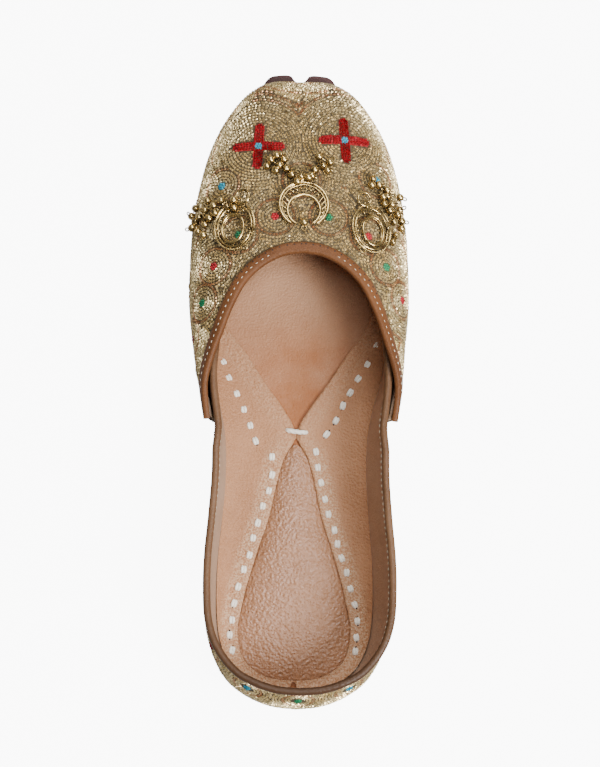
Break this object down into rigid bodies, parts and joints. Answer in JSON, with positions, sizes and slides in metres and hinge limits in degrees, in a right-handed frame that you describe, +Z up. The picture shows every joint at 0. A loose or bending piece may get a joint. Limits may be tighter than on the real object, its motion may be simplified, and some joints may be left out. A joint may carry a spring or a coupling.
{
  "type": "mojari shoe",
  "caption": "Flat embroidered mojari slip-on with a rounded open throat, leather sole, tan bindings, padded heel and brass charms with bells on the vamp.",
  "frame": {"origin": "on the floor under the middle of the shoe's length and width", "axes": "+Y towards the toe, +X to the right seen from above with the toe ahead, +Z up"},
  "size_m": [0.0852, 0.2477, 0.0493],
  "materials": {
    "sole_leather": "burnished",
    "footbed_leather": "satin",
    "wing_leather": "satin",
    "pad_leather": "polished",
    "zari_embroidery": "chain stitch",
    "throat_leather": "burnished",
    "collar_leather": "satin",
    "antique_brass": "antiqued"
  },
  "bodies": {
    "root": {"outsole": "sole_leather", "insole": "footbed_leather", "wing_left": "wing_leather", "wing_right": "wing_leather", "heel_pad": "pad_leather", "upper": "zari_embroidery", "throat_binding": "throat_leather", "collar_binding": "collar_leather", "charm_centre": "antique_brass", "charm_left": "antique_brass", "charm_right": "antique_brass", "bells_centre": "antique_brass", "bells_left": "antique_brass", "bells_right": "antique_brass"}
  },
  "joints": []
}
